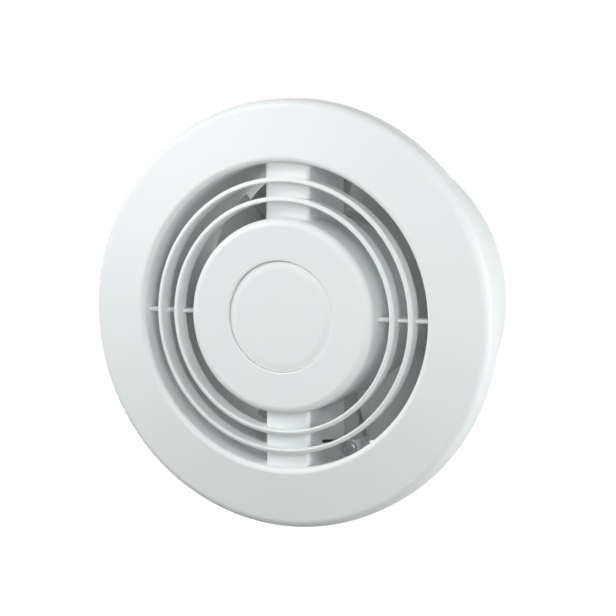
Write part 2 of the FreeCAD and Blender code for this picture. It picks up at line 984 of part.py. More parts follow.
def impeller_washer():
    return tube(thread_r + hole_play, end_washer_r, impeller_back, end_washer_back)


def impeller_nut():
    return hex_nut(end_nut_r, thread_r + thread_play, end_washer_back, end_nut_back)


pieces = [
    wall_housing, cable_grommet, front_grille, centre_cap, grille_screw, motor_cradle, cradle_screws,
    terminal_block, terminal_inserts, terminal_clamp_screws, terminal_fixing_screws, motor_leads,
    stator_core, shading_rings, coil_bobbins, stator_coils, front_end_shield, rear_end_shield,
    front_bearing, rear_bearing, motor_bolts, motor_nuts, motor_dampers, motor_shaft, rotor_core,
    rotor_end_rings, thrust_washers, impeller, impeller_washer, impeller_nut,
]

os.makedirs("parts", exist_ok=True)
for piece in pieces:
    piece().exportStep("parts/" + piece.__name__ + ".step")
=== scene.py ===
import bmesh
import bpy
import json
import math
from mathutils import Matrix, Vector


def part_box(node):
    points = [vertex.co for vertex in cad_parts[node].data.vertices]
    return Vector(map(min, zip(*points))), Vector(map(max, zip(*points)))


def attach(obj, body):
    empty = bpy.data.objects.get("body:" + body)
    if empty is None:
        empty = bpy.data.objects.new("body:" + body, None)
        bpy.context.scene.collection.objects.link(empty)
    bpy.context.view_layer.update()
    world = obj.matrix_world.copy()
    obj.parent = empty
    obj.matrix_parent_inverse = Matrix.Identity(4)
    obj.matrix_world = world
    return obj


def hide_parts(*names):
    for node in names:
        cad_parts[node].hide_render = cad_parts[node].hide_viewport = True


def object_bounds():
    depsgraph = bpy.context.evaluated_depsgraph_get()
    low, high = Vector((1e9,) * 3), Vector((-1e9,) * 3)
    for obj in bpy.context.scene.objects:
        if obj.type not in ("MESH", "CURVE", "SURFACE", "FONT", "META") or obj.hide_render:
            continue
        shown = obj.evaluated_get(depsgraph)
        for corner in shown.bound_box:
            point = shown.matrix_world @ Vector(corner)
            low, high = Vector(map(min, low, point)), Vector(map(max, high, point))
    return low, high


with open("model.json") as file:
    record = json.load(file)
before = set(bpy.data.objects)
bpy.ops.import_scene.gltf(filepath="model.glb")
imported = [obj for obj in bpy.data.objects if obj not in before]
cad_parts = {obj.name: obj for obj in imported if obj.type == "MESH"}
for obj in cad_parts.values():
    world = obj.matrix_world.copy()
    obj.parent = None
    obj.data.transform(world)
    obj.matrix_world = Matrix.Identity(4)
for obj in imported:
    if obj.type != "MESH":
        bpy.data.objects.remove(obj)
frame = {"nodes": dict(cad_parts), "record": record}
cad_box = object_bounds()

# A round exhaust fan in metres: the axis lies along Y, the front looks towards -Y and Z is up.
# Angles about the axis run from +X towards +Z, as seen from the front.
mm = 0.001
tau = 2 * math.pi

# Sizes read from the frame
grille_low, grille_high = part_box("front_grille")
cap_low, cap_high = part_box("centre_cap")
coils_low, coils_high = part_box("stator_coils")
shaft_low, shaft_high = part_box("motor_shaft")
impeller_low, impeller_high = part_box("impeller")
nut_low, nut_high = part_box("impeller_nut")
motor_nuts_low, motor_nuts_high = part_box("motor_nuts")
fascia_r = grille_high[0]
hub_front = grille_low[1]
grille_back = grille_high[1]
cap_r = cap_high[0]
cap_front = cap_low[1]
cap_peg_back = cap_high[1]
tip_r = impeller_high[0]
impeller_front = impeller_low[1]
impeller_back = impeller_high[1]

# Fascia and inlet lip
skirt_wall = 2.6 * mm
face_wall = 2.4 * mm
rim_front = -10.0 * mm
lip_front = -15.0 * mm
opening_r = 57.8 * mm
lip_wall = 1.4 * mm
edge_rounding = 4.0 * mm
lip_rounding = 2.0 * mm
inner_rounding = 1.2 * mm
back_rounding = 0.5 * mm
rib_back = -2.5 * mm
rib_thick = 1.5 * mm
rib_count = 8

# Hub, recess and centre cap
hub_r = 37.0 * mm
hub_wall = 2.2 * mm
hub_rounding = 3.2 * mm
hub_inner_rounding = 1.5 * mm
recess_play = 0.15 * mm
recess_depth = 1.8 * mm
recess_rounding = 0.6 * mm
sink_r = 3.3 * mm
screw_seat = 2.0 * mm
screw_hole_r = 1.6 * mm
boss_wall = 3.4 * mm
cap_shoulder = 2.6 * mm
cap_drop = 0.6 * mm
cap_rounding = 8.0 * mm
cap_edge_rounding = 0.25 * mm
cap_peg_count = 3
cap_peg_r = 1.2 * mm
cap_peg_play = 0.15 * mm
cap_peg_circle_share = 0.67

# Ring vanes, bars and spokes
vane_count = 2
vane_thick = 1.9 * mm
vane_back_thick = 1.2 * mm
vane_depth = 8.0 * mm
vane_slant = 1.4 * mm
vane_draft = 0.15 * mm
vane_set_back = 1.1 * mm
vane_rounding = 0.57 * mm
bar_count = 2
bar_width = 18.2 * mm
bar_wall = 2.0 * mm
bar_set_back = 4.4 * mm
bar_rounding = 1.8 * mm
bar_inner_rounding = 0.6 * mm
spoke_count = 2
spoke_thick = 1.5 * mm
spoke_depth = 3.8 * mm
spoke_rounding = 0.6 * mm
cut_overrun = 1.0 * mm

# Slot across the motor cradle's lower strut
strut_slot_height = 1.2 * mm
strut_slot_half_width = 10.0 * mm
strut_slot_front = 2.6 * mm
strut_slot_back = 21.0 * mm
strut_slot_front_drop = 49.4 * mm
strut_slot_back_drop = 51.8 * mm

# Impeller
core_r = 35.5 * mm
impeller_wall = 2.0 * mm
impeller_rounding = 3.0 * mm
impeller_boss_r = 6.5 * mm
impeller_boss_front = 39.1 * mm
impeller_rib_front = 42.5 * mm
impeller_rib_thick = 1.5 * mm
shaft_seat_r = 2.5 * mm
fit_play = 0.02 * mm
blade_count = 7
blade_first_angle = math.radians(131.3)
blade_half_angle = math.radians(33.0)
blade_inset = 2.0 * mm
blade_depth = 17.0 * mm
blade_thick = 1.8 * mm
blade_camber = 2.4 * mm
blade_edge_power = 10
blade_chord_steps = 28
blade_span_steps = 12

# Fasteners and shaft end
screw_head_r = 2.8 * mm
screw_head = 1.8 * mm
screw_r = 1.45 * mm
bolt_head_r = 2.75 * mm
bolt_head = 2.0 * mm
bolt_r = 1.5 * mm
fixing_head_r = 1.7 * mm
fixing_head = 1.2 * mm
fixing_r = 1.1 * mm
clamp_screw_r = 1.3 * mm
terminal_poles = 3
screws_per_pole = 2
head_round_share = 0.4
tip_chamfer_share = 0.3
recess_width_share = 0.32
recess_reach_share = 0.62
recess_depth_share = 0.6
slot_width_share = 0.3
slot_depth_share = 0.5
nut_chamfer_share = 0.12
nut_sides = 6
motor_nut_r = 2.9 * mm
shaft_r = 3.0 * mm
thread_r = 2.0 * mm
thread_pitch = 0.7 * mm
thread_cut = 0.25 * mm
thread_rows = 12

# Motor windings
pole_count = 4
coil_wire = 0.5 * mm
wire_gap = 0.02 * mm
coil_length = 5.0 * mm
coil_build = 3.3 * mm
coil_half_width = 9.7 * mm

# Patterns of the surfaces, with scales in repeats per metre
gloss_spread = 0.05
grain_depth = 0.1 * mm
cloud_detail = 3
plastic_sheen = 0.3
plastic_drift = 38
plastic_grain = 2600
rubber_drift = 180
rubber_grain = 3200
metal_drift = 420
tool_marks = 900
tool_mark_waver = 2
tool_mark_strength = 0.08
cast_drift = 260
cast_grain = 1800
cast_grain_strength = 0.3
copper_drift = 520
sheet_thick = 0.5 * mm
wave_rate = 20
sheet_bands = tau / (wave_rate * sheet_thick)

# Colours and gloss of the materials
white = (0.865, 0.915, 0.905)
shaded_white = (0.85, 0.9, 0.895)
plastics = {
    "fascia_white": {
        "name": "fascia_plastic", "colour": white, "shade": shaded_white,
        "roughness": 0.42, "grain": 0.05},
    "housing_white": {
        "name": "housing_plastic", "colour": white, "shade": shaded_white,
        "roughness": 0.45, "grain": 0.06},
    "cradle_white": {
        "name": "cradle_plastic", "colour": white, "shade": shaded_white,
        "roughness": 0.5, "grain": 0.08},
    # Painted shade in part: the impeller's grey is partly its own plastic and partly a darkening that
    # stands in for the shade inside the duct.
    "impeller_grey": {
        "name": "impeller_plastic", "colour": (0.71, 0.76, 0.75), "shade": (0.68, 0.73, 0.72),
        "roughness": 0.5, "grain": 0.08},
    "bobbin": {
        "name": "bobbin_plastic", "colour": (0.82, 0.78, 0.66), "shade": (0.76, 0.72, 0.6),
        "roughness": 0.5, "grain": 0.1},
    "terminal": {
        "name": "terminal_plastic", "colour": (0.86, 0.84, 0.78), "shade": (0.82, 0.8, 0.74),
        "roughness": 0.4, "grain": 0.06},
    "wire": {
        "name": "wire_insulation", "colour": (0.1, 0.17, 0.46), "shade": (0.08, 0.14, 0.4),
        "roughness": 0.36, "grain": 0.1},
}
turned_metals = {
    "steel": {
        "name": "zinc_steel", "colour": (0.66, 0.67, 0.68), "shade": (0.56, 0.57, 0.58),
        "roughness": 0.32},
    "brass": {
        "name": "turned_brass", "colour": (0.8, 0.62, 0.28), "shade": (0.7, 0.52, 0.23),
        "roughness": 0.28},
}
cast_metals = {
    "aluminium": {
        "name": "cast_aluminium", "colour": (0.74, 0.74, 0.75), "shade": (0.64, 0.64, 0.65),
        "roughness": 0.42},
    "bronze": {
        "name": "sintered_bronze", "colour": (0.66, 0.47, 0.26), "shade": (0.54, 0.38, 0.21),
        "roughness": 0.45},
}
rubber_look = {
    "colour": (0.075, 0.075, 0.08), "shade": (0.03, 0.03, 0.032),
    "smoothest": 0.62, "roughest": 0.8, "grain": 0.25}
sheets_look = {
    "colour": (0.38, 0.38, 0.4), "shade": (0.16, 0.16, 0.17), "metallic": 0.8,
    "smoothest": 0.38, "roughest": 0.55, "grain": 0.4}
copper_look = {
    "colour": (0.72, 0.36, 0.18), "shade": (0.5, 0.2, 0.09), "metallic": 0.9,
    "smoothest": 0.25, "roughest": 0.38, "coat": 0.6}

# Mesh fineness
turn_steps = 240
fillet_steps = 4
wire_sides = 8
small_steps = 64
arc_step = math.radians(9)
sharp_angle = math.radians(38)
weld_gap = 0.001 * mm

# The photograph's camera
image_width = 616
view_azimuth = math.radians(23.7)
view_elevation = math.radians(6.6)
view_roll = math.radians(-0.175)
aim_y = -7.9 * mm
camera_distance = 1.05
pixels_per_metre = 2650
centre_column = 289.4
centre_row = 314.6
sensor_width = 36.0
near_clip = 0.01

# Stage and lamps
floor_drop = 0.35
floor_half = 6.0
stage_brightness = 1.0
# Glow of the floor near the object, dimmed as painted shade around it
painted_shade_glow = 0.7
shadow_reach = 0.5
white_from = 1.3
floor_shade = 0.22
floor_roughness = 0.9
room_light = 0.1
lamps = {
    "front_softbox": {"place": (0.33, -0.54, 0.181), "size": 0.13, "power": 1.03},
    "low_softbox": {"place": (0.495, -0.858, -0.139), "size": 0.25, "power": 1.65},
    "right_softbox": {"place": (0.98, -0.46, 0.19), "size": 0.6, "power": 1.4},
    "left_softbox": {"place": (-0.325, -0.325, 0.386), "size": 0.3, "power": 1.5},
    "far_left_softbox": {"place": (-0.95, -0.45, 0.42), "size": 0.6, "power": 4.6},
    "side_softbox": {"place": (1.1, 0.2, 0.04), "size": 0.6, "power": 7.1},
    "back_softbox": {"place": (-0.85, 1.0, -0.05), "size": 0.8, "power": 7.8},
}


# Mesh helpers

def rounded(corners):
    """Closed outline through corners (u, v) or (u, v, rounding), with each rounding as an arc."""
    points = []
    for index, corner in enumerate(corners):
        here = Vector(corner[:2])
        if len(corner) == 2:
            points.append(here)
            continue
        back = (Vector(corners[index - 1][:2]) - here).normalized()
        ahead = (Vector(corners[(index + 1) % len(corners)][:2]) - here).normalized()
        half_turn = back.angle(ahead) / 2
        reach = corner[2] / math.tan(half_turn)
        centre = here + (back + ahead).normalized() * (corner[2] / math.sin(half_turn))
        start = here + back * reach - centre
        sweep = start.angle_signed(here + ahead * reach - centre)
        steps = max(2, math.ceil(abs(sweep) / arc_step))
        for step in range(steps + 1):
            points.append(centre + Matrix.Rotation(-sweep * step / steps, 2) @ start)
    return points


def mesh_of(points, faces, name):
    """A closed mesh with welded points and faces that look outwards."""
    mesh = bpy.data.meshes.new(name)
    mesh.from_pydata([tuple(point) for point in points], [], faces)
    return welded(mesh)


def welded(mesh):
    """Merges a mesh's doubled points and turns its faces outwards."""
    work = bmesh.new()
    work.from_mesh(mesh)
    bmesh.ops.remove_doubles(work, verts=work.verts, dist=weld_gap)
    bmesh.ops.recalc_face_normals(work, faces=work.faces)
    work.to_mesh(mesh)
    work.free()
    return mesh


def lofted(rings, name, closed=False):
    """Joins rings of equally many points, and closes the ends unless the rings form a loop."""
    size = len(rings[0])
    points = [point for ring in rings for point in ring]
    faces = []
    for row in range(len(rings) if closed else len(rings) - 1):
        here = row * size
        there = (row + 1) % len(rings) * size
        for index in range(size):
            after = (index + 1) % size
            faces.append((here + index, here + after, there + after, there + index))
    if not closed:
        faces.append(tuple(range(size)))
        faces.append(tuple(range(len(points) - size, len(points))))
    return mesh_of(points, faces, name)


def turned(outline, name, steps=turn_steps):
    """A closed outline (radius, y) turned about the axis."""
    rings = []
    for step in range(steps):
        angle = tau * step / steps
        rings.append([(p[0] * math.cos(angle), p[1], p[0] * math.sin(angle)) for p in outline])
    return lofted(rings, name, closed=True)


def drawn(section, start, end, name):
    """A closed section (across, y) drawn along +X, from start's x to end's x at each of its points."""
    return lofted([[(place(p), p[1], p[0]) for p in section] for place in (start, end)], name)


def block(low, high, name):
    """A box from its lowest corner to its highest."""
    corners = [(low[0], low[2]), (high[0], low[2]), (high[0], high[2]), (low[0], high[2])]
    return lofted([[(x, y, z) for x, z in corners] for y in (low[1], high[1])], name)


def carved(mesh, tool, operation="DIFFERENCE"):
    """The mesh less the tool's mesh, or what both share."""
    body = bpy.data.objects.new(mesh.name, mesh)
    other = bpy.data.objects.new(tool.name, tool)
    bpy.context.scene.collection.objects.link(body)
    bpy.context.scene.collection.objects.link(other)
    cut = body.modifiers.new("cut", "BOOLEAN")
    cut.operation = operation
    cut.solver = "EXACT"
    cut.object = other
    result = bpy.data.meshes.new_from_object(body.evaluated_get(bpy.context.evaluated_depsgraph_get()))
    bpy.data.objects.remove(body)
    bpy.data.objects.remove(other)
    return result


def finished(name, mesh, finish, body, slot, *nodes):
    """Smooths a mesh, gives it its finish, sets it under its body and hides the frame's nodes it stands
    for.
    """
    welded(mesh)
    mesh.shade_smooth()
    mesh.set_sharp_from_angle(angle=sharp_angle)
    mesh.materials.clear()
    mesh.materials.append(finish)
    piece = bpy.data.objects.new(name, mesh)
    bpy.context.scene.collection.objects.link(piece)
    even = piece.modifiers.new("even_shading", "WEIGHTED_NORMAL")
    even.keep_sharp = True
    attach(piece, body)
    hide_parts(*nodes)


# Node trees

def new_tree(name, inputs):
    """An empty tree with named inputs, and its group nodes."""
    tree = bpy.data.node_groups.new(name, "GeometryNodeTree")
    tree.interface.new_socket("Geometry", in_out="INPUT", socket_type="NodeSocketGeometry")
    for label, kind in inputs:
        tree.interface.new_socket(label, in_out="INPUT", socket_type="NodeSocket" + kind)
    tree.interface.new_socket("Finish", in_out="INPUT", socket_type="NodeSocketMaterial")
    tree.interface.new_socket("Geometry", in_out="OUTPUT", socket_type="NodeSocketGeometry")
    return tree, tree.nodes.new("NodeGroupInput").outputs


def math_node(tree, operation, first, second=None):
    """One sum on numbers or sockets."""
    node = tree.nodes.new("ShaderNodeMath")
    node.operation = operation
    for index, value in enumerate((first, second)):
        if isinstance(value, bpy.types.NodeSocket):
            tree.links.new(value, node.inputs[index])
        elif value is not None:
            node.inputs[index].default_value = value
    return node.outputs["Value"]


def vector_node(tree, operation, first, second):
    """One sum on vector sockets, where SCALE takes a number second."""
    node = tree.nodes.new("ShaderNodeVectorMath")
    node.operation = operation
    tree.links.new(first, node.inputs[0])
    tree.links.new(second, node.inputs["Scale"] if operation == "SCALE" else node.inputs[1])
    return node.outputs["Vector"]


def end_tree(tree, geometry, given):
    """Realises the copies, sets the finish and closes the tree."""
    real = tree.nodes.new("GeometryNodeRealizeInstances")
    coat = tree.nodes.new("GeometryNodeSetMaterial")
    made = tree.nodes.new("NodeGroupOutput")
    tree.links.new(geometry, real.inputs["Geometry"])
    tree.links.new(real.outputs["Geometry"], coat.inputs["Geometry"])
    tree.links.new(given["Finish"], coat.inputs["Material"])
    tree.links.new(coat.outputs["Geometry"], made.inputs["Geometry"])
    return tree


def about_axis_tree():
    """Repeats the piece's own mesh evenly about the fan's axis."""
    tree, given = new_tree("copies_about_axis", [("Count", "Int"), ("First angle", "Float")])
    spots = tree.nodes.new("GeometryNodePoints")
    index = tree.nodes.new("GeometryNodeInputIndex").outputs["Index"]
    about = tree.nodes.new("ShaderNodeCombineXYZ")
    rotation = tree.nodes.new("FunctionNodeEulerToRotation")
    copies = tree.nodes.new("GeometryNodeInstanceOnPoints")
    turn = math_node(tree, "MULTIPLY", index, math_node(tree, "DIVIDE", -tau, given["Count"]))
    tree.links.new(math_node(tree, "SUBTRACT", turn, given["First angle"]), about.inputs["Y"])
    tree.links.new(given["Count"], spots.inputs["Count"])
    tree.links.new(about.outputs["Vector"], rotation.inputs["Euler"])
    tree.links.new(spots.outputs["Geometry"], copies.inputs["Points"])
    tree.links.new(given["Geometry"], copies.inputs["Instance"])
    tree.links.new(rotation.outputs["Rotation"], copies.inputs["Rotation"])
    return end_tree(tree, copies.outputs["Instances"], given)


def on_grid_tree():
    """Repeats the piece's own mesh in columns and rows."""
    inputs = [("Columns", "Int"), ("Rows", "Int"), ("First", "Vector"),
              ("Column step", "Vector"), ("Row step", "Vector")]
    tree, given = new_tree("copies_on_grid", inputs)
    spots = tree.nodes.new("GeometryNodePoints")
    index = tree.nodes.new("GeometryNodeInputIndex").outputs["Index"]
    copies = tree.nodes.new("GeometryNodeInstanceOnPoints")
    column = math_node(tree, "MODULO", index, given["Columns"])
    row = math_node(tree, "FLOOR", math_node(tree, "DIVIDE", index, given["Columns"]))
    along = vector_node(tree, "SCALE", given["Column step"], column)
    up = vector_node(tree, "SCALE", given["Row step"], row)
    place = vector_node(tree, "ADD", given["First"], vector_node(tree, "ADD", along, up))
    tree.links.new(math_node(tree, "MULTIPLY", given["Columns"], given["Rows"]), spots.inputs["Count"])
    tree.links.new(place, spots.inputs["Position"])
    tree.links.new(spots.outputs["Geometry"], copies.inputs["Points"])
    tree.links.new(given["Geometry"], copies.inputs["Instance"])
    return end_tree(tree, copies.outputs["Instances"], given)


def ring_vane_tree():
    """Sweeps a four-cornered section with rounded edges round a circle about the fan's axis."""
    corners = ("Inner front", "Outer front", "Outer back", "Inner back")
    inputs = [("Ring radius", "Float"), ("Rounding", "Float"), ("Steps", "Int")]
    tree, given = new_tree("ring_vane", inputs + [(corner, "Vector") for corner in corners])
    circle = tree.nodes.new("GeometryNodeCurvePrimitiveCircle")
    section = tree.nodes.new("GeometryNodeCurvePrimitiveQuadrilateral")
    section.mode = "POINTS"
    soften = tree.nodes.new("GeometryNodeFilletCurve")
    soften.mode = "POLY"
    soften.inputs["Count"].default_value = fillet_steps
    sweep = tree.nodes.new("GeometryNodeCurveToMesh")
    upright = tree.nodes.new("GeometryNodeTransform")
    upright.inputs["Rotation"].default_value = (math.pi / 2, 0, 0)
    tree.links.new(given["Steps"], circle.inputs["Resolution"])
    tree.links.new(given["Ring radius"], circle.inputs["Radius"])
    for index, corner in enumerate(corners):
        tree.links.new(given[corner], section.inputs["Point " + str(index + 1)])
    tree.links.new(section.outputs["Curve"], soften.inputs["Curve"])
    tree.links.new(given["Rounding"], soften.inputs["Radius"])
    tree.links.new(circle.outputs["Curve"], sweep.inputs["Curve"])
    tree.links.new(soften.outputs["Curve"], sweep.inputs["Profile Curve"])
    tree.links.new(sweep.outputs["Mesh"], upright.inputs["Geometry"])
    return end_tree(tree, upright.outputs["Geometry"], given)


def winding_tree():
    """Lays square turns of round wire side by side along X."""
    inputs = [("Width", "Float"), ("Height", "Float"), ("Corner", "Float"), ("Wire radius", "Float"),
              ("Turns", "Int"), ("First", "Vector"), ("Step", "Vector")]
    tree, given = new_tree("winding", inputs)
    loop = tree.nodes.new("GeometryNodeCurvePrimitiveQuadrilateral")
    soften = tree.nodes.new("GeometryNodeFilletCurve")
    soften.mode = "POLY"
    soften.inputs["Count"].default_value = fillet_steps
    wire = tree.nodes.new("GeometryNodeCurvePrimitiveCircle")
    wire.inputs["Resolution"].default_value = wire_sides
    sweep = tree.nodes.new("GeometryNodeCurveToMesh")
    across = tree.nodes.new("GeometryNodeTransform")
    across.inputs["Rotation"].default_value = (0, math.pi / 2, 0)
    row = tree.nodes.new("GeometryNodeMeshLine")
    turns = tree.nodes.new("GeometryNodeInstanceOnPoints")
    tree.links.new(given["Width"], loop.inputs["Width"])
    tree.links.new(given["Height"], loop.inputs["Height"])
    tree.links.new(loop.outputs["Curve"], soften.inputs["Curve"])
    tree.links.new(given["Corner"], soften.inputs["Radius"])
    tree.links.new(given["Wire radius"], wire.inputs["Radius"])
    tree.links.new(soften.outputs["Curve"], sweep.inputs["Curve"])
    tree.links.new(wire.outputs["Curve"], sweep.inputs["Profile Curve"])
    tree.links.new(sweep.outputs["Mesh"], across.inputs["Geometry"])
    tree.links.new(given["Turns"], row.inputs["Count"])
    tree.links.new(given["First"], row.inputs["Start Location"])
    tree.links.new(given["Step"], row.inputs["Offset"])
    tree.links.new(row.outputs["Mesh"], turns.inputs["Points"])
    tree.links.new(across.outputs["Geometry"], turns.inputs["Instance"])
    return end_tree(tree, turns.outputs["Instances"], given)


def grown(mesh, tree, values):
    """Runs a node tree on a mesh, with its inputs by name, and gives the result as a plain mesh."""
    seed = bpy.data.objects.new(mesh.name, mesh)
    bpy.context.scene.collection.objects.link(seed)
    growth = seed.modifiers.new("growth", "NODES")
    growth.node_group = tree
    for socket in tree.interface.items_tree:
        if socket.in_out == "INPUT" and socket.name in values:
            growth[socket.identifier] = values[socket.name]
    result = bpy.data.meshes.new_from_object(seed.evaluated_get(bpy.context.evaluated_depsgraph_get()))
    seed.modifiers.remove(growth)
    bpy.data.objects.remove(seed)
    return result


about_axis = about_axis_tree()
on_grid = on_grid_tree()
vane_sweep = ring_vane_tree()
winding = winding_tree()


def repeated(mesh, count, first_angle, finish):
    """Even copies of a mesh about the fan's axis."""
    return grown(mesh, about_axis, {"Count": count, "First angle": first_angle, "Finish": finish})


# Finishes

def new_material(name):
    """A material with its node tree and its main shader."""
    material = bpy.data.materials.new(name)
    material.use_nodes = True
    return material, material.node_tree, material.node_tree.nodes["Principled BSDF"]


def noise(tree, scale):
    """Cloudy noise in the piece's own coordinates."""
    place = tree.nodes.new("ShaderNodeTexCoord")
    cloud = tree.nodes.new("ShaderNodeTexNoise")
    cloud.inputs["Scale"].default_value = scale
    cloud.inputs["Detail"].default_value = cloud_detail
    tree.links.new(place.outputs["Object"], cloud.inputs["Vector"])
    return cloud.outputs["Fac"]


def wave(tree, kind, scale, distortion):
    """Bands across the fan's axis, or rings round it."""
    place = tree.nodes.new("ShaderNodeTexCoord")
    pattern = tree.nodes.new("ShaderNodeTexWave")
    pattern.wave_type = kind
    pattern.bands_direction = "Y"
    pattern.rings_direction = "Y"
    pattern.inputs["Scale"].default_value = scale
    pattern.inputs["Distortion"].default_value = distortion
    tree.links.new(place.outputs["Object"], pattern.inputs["Vector"])
    return pattern.outputs["Fac"]


def tint(tree, shader, pattern, shade, colour):
    """Colour that goes from shade to colour with the pattern."""
    mix = tree.nodes.new("ShaderNodeMix")
    mix.data_type = "RGBA"
    mix.inputs["A"].default_value = (*shade, 1)
    mix.inputs["B"].default_value = (*colour, 1)
    tree.links.new(pattern, mix.inputs["Factor"])
    tree.links.new(mix.outputs["Result"], shader.inputs["Base Color"])


def gloss(tree, shader, pattern, low, high):
    """Roughness that goes from low to high with the pattern."""
    span = tree.nodes.new("ShaderNodeMapRange")
    span.inputs["To Min"].default_value = low
    span.inputs["To Max"].default_value = high
    tree.links.new(pattern, span.inputs["Value"])
    tree.links.new(span.outputs["Result"], shader.inputs["Roughness"])


def relief(tree, shader, pattern, strength):
    """Fine bumps that follow the pattern."""
    bump = tree.nodes.new("ShaderNodeBump")
    bump.inputs["Strength"].default_value = strength
    bump.inputs["Distance"].default_value = grain_depth
    tree.links.new(pattern, bump.inputs["Height"])
    tree.links.new(bump.outputs["Normal"], shader.inputs["Normal"])


def moulded_plastic(name, colour, shade, roughness, grain):
    """Moulded plastic: a slow drift of the shade, uneven gloss and fine mould grain."""
    material, tree, shader = new_material(name)
    drift = noise(tree, plastic_drift)
    tint(tree, shader, drift, shade, colour)
    gloss(tree, shader, drift, roughness - gloss_spread, roughness + gloss_spread)
    relief(tree, shader, noise(tree, plastic_grain), grain)
    shader.inputs["Specular IOR Level"].default_value = plastic_sheen
    return material


def black_rubber():
    material, tree, shader = new_material("black_rubber")
    look = rubber_look
    drift = noise(tree, rubber_drift)
    tint(tree, shader, drift, look["shade"], look["colour"])
    gloss(tree, shader, drift, look["smoothest"], look["roughest"])
    relief(tree, shader, noise(tree, rubber_grain), look["grain"])
    return material


def turned_metal(name, colour, shade, roughness):
    """Bare or plated metal with faint cutting marks round the axis."""
    material, tree, shader = new_material(name)
    shader.inputs["Metallic"].default_value = 1
    drift = noise(tree, metal_drift)
    tint(tree, shader, drift, shade, colour)
    gloss(tree, shader, drift, roughness - gloss_spread, roughness + gloss_spread)
    relief(tree, shader, wave(tree, "RINGS", tool_marks, tool_mark_waver), tool_mark_strength)
    return material


def cast_metal(name, colour, shade, roughness):
    """Die-cast or sintered metal with a grainy skin."""
    material, tree, shader = new_material(name)
    shader.inputs["Metallic"].default_value = 1
    drift = noise(tree, cast_drift)
    tint(tree, shader, drift, shade, colour)
    gloss(tree, shader, drift, roughness - gloss_spread, roughness + gloss_spread)
    relief(tree, shader, noise(tree, cast_grain), cast_grain_strength)
    return material


def stacked_sheets():
    """Stamped steel sheets that lie across the axis."""
    material, tree, shader = new_material("stacked_sheets")
    look = sheets_look
    shader.inputs["Metallic"].default_value = look["metallic"]
    sheets = wave(tree, "BANDS", sheet_bands, 0)
    tint(tree, shader, sheets, look["shade"], look["colour"])
    gloss(tree, shader, noise(tree, cast_drift), look["smoothest"], look["roughest"])
    relief(tree, shader, sheets, look["grain"])
    return material


def enamelled_copper():
    material, tree, shader = new_material("enamelled_copper")
    look = copper_look
    shader.inputs["Metallic"].default_value = look["metallic"]
    shader.inputs["Coat Weight"].default_value = look["coat"]
    drift = noise(tree, copper_drift)
    tint(tree, shader, drift, look["shade"], look["colour"])
    gloss(tree, shader, drift, look["smoothest"], look["roughest"])
    return material


finishes = {"rubber": black_rubber(), "lamination": stacked_sheets(), "copper": enamelled_copper()}
for slot, look in plastics.items():
    finishes[slot] = moulded_plastic(**look)
for slot, look in turned_metals.items():
    finishes[slot] = turned_metal(**look)
for slot, look in cast_metals.items():
    finishes[slot] = cast_metal(**look)
for subpart in frame["record"]["subparts"]:
    node = frame["nodes"][subpart["node"]]
    node.data.materials.clear()
    node.data.materials.append(finishes[subpart["material_slot"]])


# Front grille

lip_out_r = opening_r + lip_wall
lip_middle_r = opening_r + lip_wall / 2
skirt_in_r = fascia_r - skirt_wall
face_slope_share = (rim_front - lip_front) / (fascia_r - opening_r)
vane_pitch = (lip_middle_r - hub_r) / (vane_count + 1)
vane_slope_share = (lip_front - hub_front) / (lip_middle_r - hub_r)
recess_floor = hub_front + recess_depth


def face_front(radius):
    return rim_front - (fascia_r - radius) * face_slope_share


def vane_front(radius):
    return lip_front - (lip_middle_r - radius) * vane_slope_share + vane_set_back


bar_front = vane_front(lip_middle_r - vane_pitch) + bar_set_back


def grille_piece(name, mesh):
    finished(name, mesh, finishes["fascia_white"], "housing", "fascia_white", "front_grille")


def cable_way():
    """The path of the supply cable behind the upper bar, through the lip and the hub's wall."""
    half = bar_width / 2 - bar_wall
    return block((-half, bar_front + bar_wall, hub_r - hub_wall - cut_overrun),
                 (half, grille_back + cut_overrun, lip_out_r + cut_overrun), "cable_way")


def fascia_shell():
    outline = rounded([
        (skirt_in_r, 0),
        (fascia_r, 0, back_rounding),
        (fascia_r, rim_front, edge_rounding),
        (opening_r, lip_front, lip_rounding),
        (opening_r, grille_back),
        (lip_out_r, grille_back),
        (lip_out_r, face_front(lip_out_r) + face_wall, inner_rounding),
        (skirt_in_r, face_front(skirt_in_r) + face_wall, inner_rounding),
    ])
    grille_piece("fascia_shell", carved(turned(outline, "fascia_shell"), cable_way()))


def fascia_ribs():
    half = rib_thick / 2
    inner = lip_out_r - lip_wall / 2
    outer = skirt_in_r + skirt_wall / 2
    cover = face_wall / 2
    side = [
        (inner, rib_back),
        (outer, rib_back),
        (outer, face_front(outer) + cover),
        (inner, face_front(inner) + cover),
    ]
    rib = lofted([[(x, y, across) for x, y in side] for across in (-half, half)], "fascia_ribs")
    grille_piece("fascia_ribs", repeated(rib, rib_count, math.pi / rib_count, finishes["fascia_white"]))


def cap_peg(radius, front, back):
    """A peg of the centre cap, or the hole for it, where the first peg stands."""
    rings = []
    for y in (front, back):
        spread = [tau * step / small_steps for step in range(small_steps)]
        middle = cap_r * cap_peg_circle_share
        rings.append([(middle + radius * math.cos(a), y, radius * math.sin(a)) for a in spread])
    return repeated(lofted(rings, "cap_pegs"), cap_peg_count, math.pi / 2, finishes["fascia_white"])


